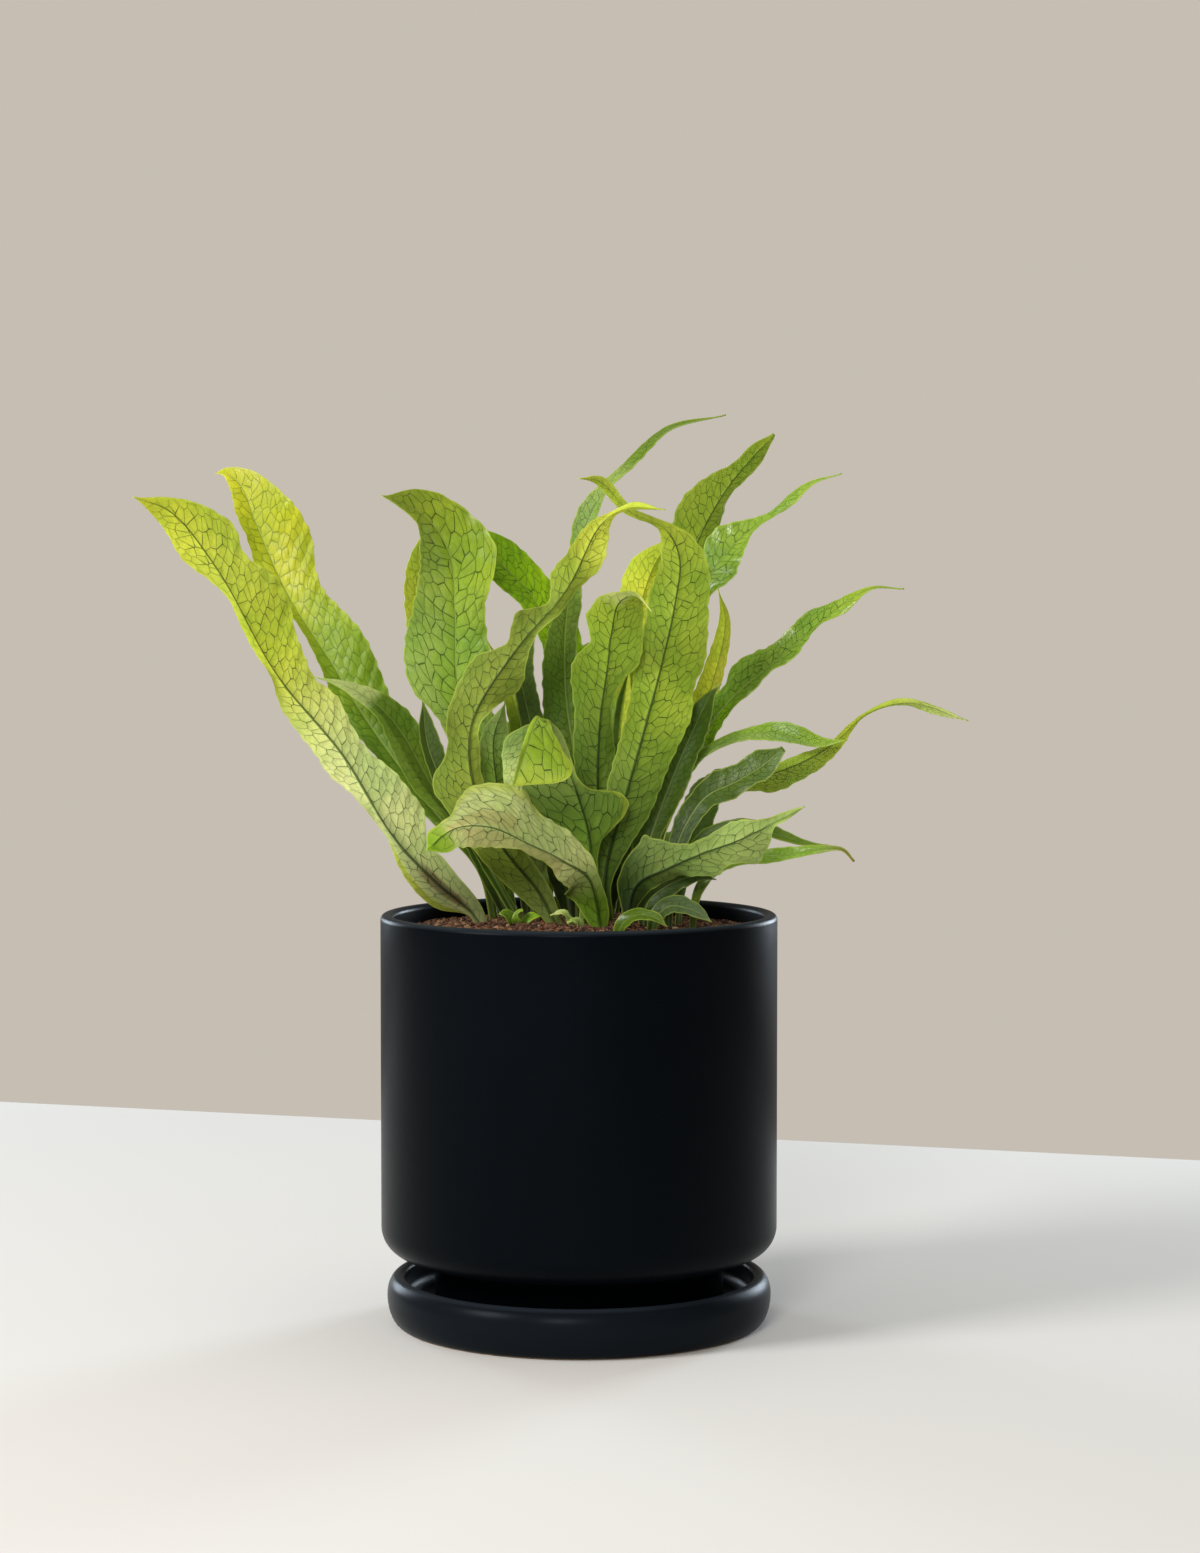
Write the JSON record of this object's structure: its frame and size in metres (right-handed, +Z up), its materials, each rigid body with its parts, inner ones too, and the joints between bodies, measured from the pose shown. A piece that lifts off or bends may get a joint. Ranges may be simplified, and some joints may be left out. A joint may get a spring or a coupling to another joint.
{
  "type": "potted crocodile fern",
  "caption": "Fern with long waved strap fronds in a matt black ceramic cylinder pot that stands on its own saucer.",
  "frame": {"origin": "middle of the saucer's flat underside", "axes": "+Z up; +X to the right of the plant's best side, seen from its front; +Y to its back"},
  "size_m": [0.3546, 0.2087, 0.3918],
  "materials": {
    "glaze": "matt black glaze",
    "mix": "coarse fibrous bark mix",
    "frond_yellow": "satin leaf, yellow-green",
    "frond_pale": "matt underside, olive",
    "frond_green": "satin leaf, green",
    "frond_dark": "satin leaf, dark green"
  },
  "bodies": {
    "root": {"saucer": "glaze", "pot": "glaze", "potting_mix": "mix", "frond_left_outer": "frond_pale", "frond_left_yellow": "frond_yellow", "frond_left_dark": "frond_dark", "frond_left_upright": "frond_dark", "frond_broad_green": "frond_green", "frond_behind_broad": "frond_green", "frond_wavy_olive": "frond_pale", "frond_front_arching": "frond_pale", "frond_front_folded": "frond_pale", "frond_middle_olive": "frond_pale", "frond_middle_tall": "frond_pale", "frond_middle_dark": "frond_dark", "frond_right_upright": "frond_green", "frond_right_twisted": "frond_green", "frond_yellow_inner": "frond_yellow", "frond_yellow_outer": "frond_yellow", "frond_right_glossy": "frond_green", "frond_right_small": "frond_dark", "frond_right_long": "frond_pale", "frond_right_curled": "frond_dark", "frond_right_light": "frond_green", "frond_front_right": "frond_pale", "frond_right_shaded": "frond_dark", "frond_right_narrow": "frond_dark", "frond_right_dried_tip": "frond_green", "frond_low_green": "frond_green", "frond_low_grey": "frond_green", "frond_left_inner": "frond_pale", "frond_inner_dark": "frond_dark", "frond_inner_light": "frond_green", "frond_middle_narrow": "frond_dark", "frond_yellow_sliver": "frond_yellow", "frond_back_left": "frond_green", "frond_back_middle": "frond_green", "frond_back_right": "frond_green", "frond_back_outer_right": "frond_green", "frond_back_outer_left": "frond_green", "frond_back_low_left": "frond_green", "frond_back_low_right": "frond_green"}
  },
  "joints": []
}
